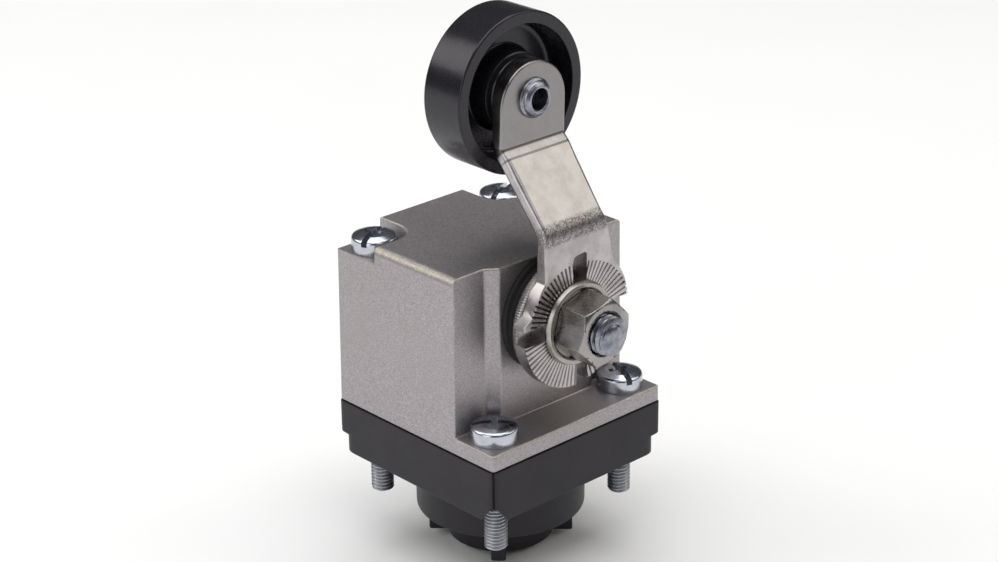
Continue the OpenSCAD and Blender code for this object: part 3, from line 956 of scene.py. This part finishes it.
def bend_strip(piece, path, start):
    """Slices the flat lever across its bends, marks them, and lays it along the path."""
    bm = bmesh.new()
    bm.from_mesh(piece.data)
    ends = [sum(length for length, _ in path[:k]) for k in range(len(path))]
    # the crease bands mark the two upper bend lines, which lever_steel darkens as painted shade
    bands = [("bend", ends[1], ends[2], 0.5, 1.0), ("painted_crease_shade", ends[3], ends[4], 0.08, 0.7),
             ("painted_crease_shade", ends[5], ends[6], 0.28, 1.0)]
    stations = [low + (high - low) * k / 8 for _, low, high, _, _ in bands for k in range(9)]
    stations += [spot for _, low, high, fade, _ in bands for spot in (low - fade, high + fade)]
    for station in stations:
        geometry = [*bm.verts, *bm.edges, *bm.faces]
        bmesh.ops.bisect_plane(bm, geom=geometry, plane_co=(0, station, 0), plane_no=(0, 1, 0),
                               dist=1e-5)
    marks = {name: bm.verts.layers.float.new(name) for name in ("bend", "painted_crease_shade")}
    near = 1e-3
    for vert in bm.verts:
        x, along, off = vert.co
        for name, low, high, _, level in bands:
            if low - near <= along <= high + near:
                vert[marks[name]] = level
        y, z, heading = travel(path, start, max(along, 0))
        z += min(along, 0)
        vert.co = (x, y - off * math.cos(heading), z + off * math.sin(heading))
    bmesh.ops.recalc_face_normals(bm, faces=bm.faces)
    bm.to_mesh(piece.data)
    bm.free()


# ---------------------------------------------------------------- roller

def roller_rivet():
    """Hollow rivet: a rolled head in front, a flared tail behind the roller."""
    low, high = span("roller_rivet")
    face = span("lever_arm")[1].y - LEVER_T
    bore, shank = 1.35, 1.98
    profile = soften([(bore, low.y + 0.4), (bore + 0.1, low.y + 0.02, 0.2), (1.75, low.y, 0.3),
                      (2.24, low.y + 0.35, 0.5), (2.3, face - 0.5, 0.1), (2.6, face - 0.3, 0.15),
                      (2.58, face + 0.02), (shank, face + 0.1), (shank, high.y - 0.7),
                      (3.15, high.y - 0.65, 0.2), (2.9, high.y, 0.3), (bore, high.y)])
    piece = lathe("hollow_rivet", profile, along_y(ROLLER_Z), looped=True)
    return make(piece, "lever", ["roller_rivet"], "zinc_screw", finish="shaft_zinc")


def roller():
    """Deep-dished wheel with a rounded rim and fine steps round its hub."""
    low, high = span("roller")
    rim = high.x
    front, back = low.y, high.y
    hub = front + 0.3
    floor = front + 3.9
    bore = 2.06
    profile = soften([
        (bore, hub + 0.1), (4.1, hub + 0.05), (4.25, hub + 0.15), (4.45, hub + 0.18),
        (4.55, hub + 0.35), (4.8, hub + 0.4), (4.87, hub + 0.7), (5.1, hub + 0.8, 0.1),
        (5.3, floor, 0.6), (8.6, floor, 0.9), (8.9, front, 0.12), (rim, front, 0.28), (rim, back, 0.35),
        (8.6, back, 0.2), (8.5, back - 1.2, 0.3), (6.9, back - 1.2, 0.2), (6.9, back - 0.9),
        (bore, back - 0.9)])
    piece = lathe("plastic_roller", profile, along_y(ROLLER_Z), looped=True)
    return make(piece, "roller", ["roller"], "roller_plastic")


# ---------------------------------------------------------------- inside

def return_spring():
    """Round-wire helix, at one fixed length."""
    low, high = span("return_spring")
    wire, coil, turns, sides = 0.5, 3.4, 6, 12
    steps = turns * 32
    rings = []
    for k in range(steps + 1):
        a = math.tau * turns * k / steps
        z = low.z + wire + (high.z - low.z - 2 * wire) * k / steps
        around = [math.tau * n / sides for n in range(sides)]
        rings.append([((coil + wire * math.cos(b)) * math.cos(a),
                       (coil + wire * math.cos(b)) * math.sin(a), z + wire * math.sin(b))
                      for b in around])
    piece = make(skin("coil_spring", rings), "head", ["return_spring"], "spring_steel")
    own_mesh(piece)
    return piece


def dress_cad_nodes():
    """Gives the CAD nodes that stay their procedural materials."""
    slots = {row["node"]: row["material_slot"] for row in frame["record"]["subparts"]}
    for name, node in frame["nodes"].items():
        node.data.materials.clear()
        finish = "shaft_zinc" if name == "roller_washer" else slots[name]
        node.data.materials.append(MATERIALS[finish])


# ---------------------------------------------------------------- stage

def area_light(name, spot, size, power, colour=(1, 1, 1)):
    """A soft rectangular light at spot, in metres, that faces the head's middle."""
    data = bpy.data.lights.new(name, "AREA")
    data.shape = "RECTANGLE"
    data.size, data.size_y = size
    data.energy = power
    data.color = colour
    light = bpy.data.objects.new(name, data)
    bpy.context.scene.collection.objects.link(light)
    facing = Vector((0, 0, 0.025)) - Vector(spot)
    aimed = facing.to_track_quat("-Z", "Y").to_matrix().to_4x4()
    light.matrix_world = Matrix.Translation(spot) @ aimed


def floor_plane():
    """A wide pale floor at the head's lowest point, sizes in metres."""
    half = 3.0
    z = cad_bounds[0][2]
    bm = bmesh.new()
    bm.faces.new([bm.verts.new((x * half, y * half, z)) for x, y in CORNERS])
    floor = solid("floor", bm)
    f = Finish("pale_floor").set(roughness=0.9, specular_ior_level=0.1)
    f.feed("Base Color", f.mix(f.noise(40), (0.94, 0.94, 0.94), (0.97, 0.97, 0.97)))
    floor.data.materials.append(f.material)


def studio():
    """A wide light overhead, four soft ones round the head, and a dim cool world."""
    area_light("overhead", (0.0, 0.05, 1.0), (1.2, 1.2), 10.3)
    area_light("back_left_softbox", (-0.40, 0.42, 0.42), (0.45, 0.35), 1.3, (1, 0.98, 0.93))
    area_light("front_right_softbox", (0.42, -0.36, 0.43), (0.45, 0.45), 1.0, (1, 0.97, 0.87))
    area_light("front_softbox", (-0.10, -0.54, 0.52), (0.34, 0.2), 0.32, (1, 0.98, 0.95))
    area_light("left_fill", (-0.7, -0.1, 0.25), (0.5, 0.5), 1.2)
    world = bpy.data.worlds.new("studio")
    world.use_nodes = True
    background = world.node_tree.nodes["Background"]
    background.inputs["Color"].default_value = (0.9, 0.93, 1, 1)
    background.inputs["Strength"].default_value = 0.085
    bpy.context.scene.world = world
    bpy.context.scene.view_settings.view_transform = "Standard"


def camera():
    """A long lens from the front left, a little above the head."""
    azimuth, elevation, roll = (math.radians(k) for k in (-42.66, 23.22, -0.72))
    target = Vector((0.15, -0.05, 24.43)) * MM
    distance = 310.56 * MM
    back = Vector((math.sin(azimuth) * math.cos(elevation),
                   -math.cos(azimuth) * math.cos(elevation), math.sin(elevation)))
    level = Vector((math.cos(azimuth), math.sin(azimuth), 0))
    rise = back.cross(level)
    right = math.cos(roll) * level + math.sin(roll) * rise
    up = -math.sin(roll) * level + math.cos(roll) * rise
    data = bpy.data.cameras.new("camera")
    data.lens = 86.1
    data.clip_start = 0.01
    view = bpy.data.objects.new("camera", data)
    bpy.context.scene.collection.objects.link(view)
    axes = Matrix((right, up, back)).transposed().to_4x4()
    view.matrix_world = Matrix.Translation(target + back * distance) @ axes
    bpy.context.scene.camera = view


camera()
studio()
floor_plane()
dress_cad_nodes()
housing()
base_adapter()
base_gasket()
for screw, direction in zip(SCREWS, (-43, 70, 23, 25)):
    fixing_screw(screw, direction)
shaft_seal()
serrated_hub()
shaft()
lever_washer()
lever_nut()
lever_arm()
roller_rivet()
roller()
return_spring()
